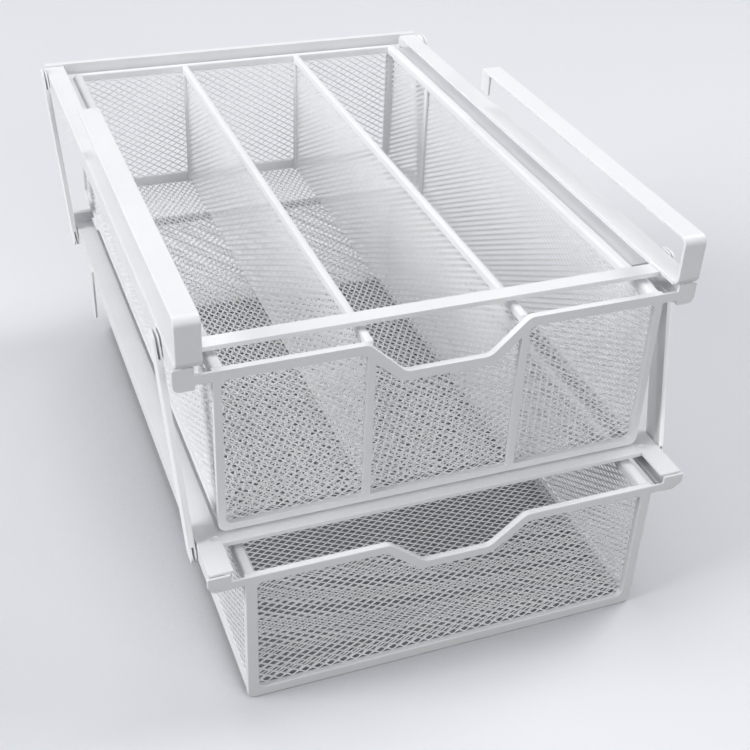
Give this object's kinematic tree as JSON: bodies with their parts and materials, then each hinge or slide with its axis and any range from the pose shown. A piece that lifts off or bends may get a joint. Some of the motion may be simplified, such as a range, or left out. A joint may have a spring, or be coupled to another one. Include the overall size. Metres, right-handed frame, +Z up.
{
  "type": "two-tier pull-out cabinet basket",
  "caption": "Two-tier steel frame with hooks for a shelf edge and C rails, in which two expanded-metal drawers, the upper one with dividers, slide forward.",
  "frame": {"origin": "centre of the footprint, on the plane that the lower drawer's frames rest on", "axes": "+X to the right seen from the front, +Y from the drawer fronts towards the back along the rails, +Z up"},
  "size_m": [0.3084, 0.4606, 0.243],
  "materials": {
    "frame_coat": "white powder coat, satin",
    "mesh_coat": "white powder coat, satin"
  },
  "bodies": {
    "frame": {"upper_rail_left": "frame_coat", "upper_rail_right": "frame_coat", "lower_rail_left": "frame_coat", "lower_rail_right": "frame_coat", "upper_front_bar": "frame_coat", "upper_rear_bar": "frame_coat", "lower_front_bar": "frame_coat", "rear_bracket_left": "frame_coat", "rear_bracket_right": "frame_coat", "post_front_left": "frame_coat", "post_front_right": "frame_coat", "post_rear_left": "frame_coat", "post_rear_right": "frame_coat", "shelf_hook_left": "frame_coat", "shelf_hook_right": "frame_coat", "side_ear_left": "frame_coat", "side_ear_right": "frame_coat"},
    "upper_drawer": {"upper_face_frame": "frame_coat", "upper_rear_frame": "frame_coat", "upper_rim_left": "frame_coat", "upper_rim_right": "frame_coat", "upper_sill_left": "frame_coat", "upper_sill_right": "frame_coat", "upper_runner_left": "frame_coat", "upper_runner_right": "frame_coat", "upper_stay_left": "frame_coat", "upper_stay_right": "frame_coat", "upper_mesh_front": "mesh_coat", "upper_mesh_rear": "mesh_coat", "upper_mesh_left": "mesh_coat", "upper_mesh_right": "mesh_coat", "upper_mesh_floor": "mesh_coat", "divider_frame_left": "frame_coat", "divider_frame_right": "frame_coat", "divider_mesh_left": "mesh_coat", "divider_mesh_right": "mesh_coat"},
    "lower_drawer": {"lower_face_frame": "frame_coat", "lower_rear_frame": "frame_coat", "lower_rim_left": "frame_coat", "lower_rim_right": "frame_coat", "lower_sill_left": "frame_coat", "lower_sill_right": "frame_coat", "lower_runner_left": "frame_coat", "lower_runner_right": "frame_coat", "lower_mesh_front": "mesh_coat", "lower_mesh_rear": "mesh_coat", "lower_mesh_left": "mesh_coat", "lower_mesh_right": "mesh_coat", "lower_mesh_floor": "mesh_coat"}
  },
  "joints": [
    {"name": "upper_drawer_slide", "type": "slide", "parent": "frame", "child": "upper_drawer", "axis": [0, -1, 0], "range_m": [0, 0.28]},
    {"name": "lower_drawer_slide", "type": "slide", "parent": "frame", "child": "lower_drawer", "axis": [0, -1, 0], "range_m": [0, 0.28]}
  ]
}
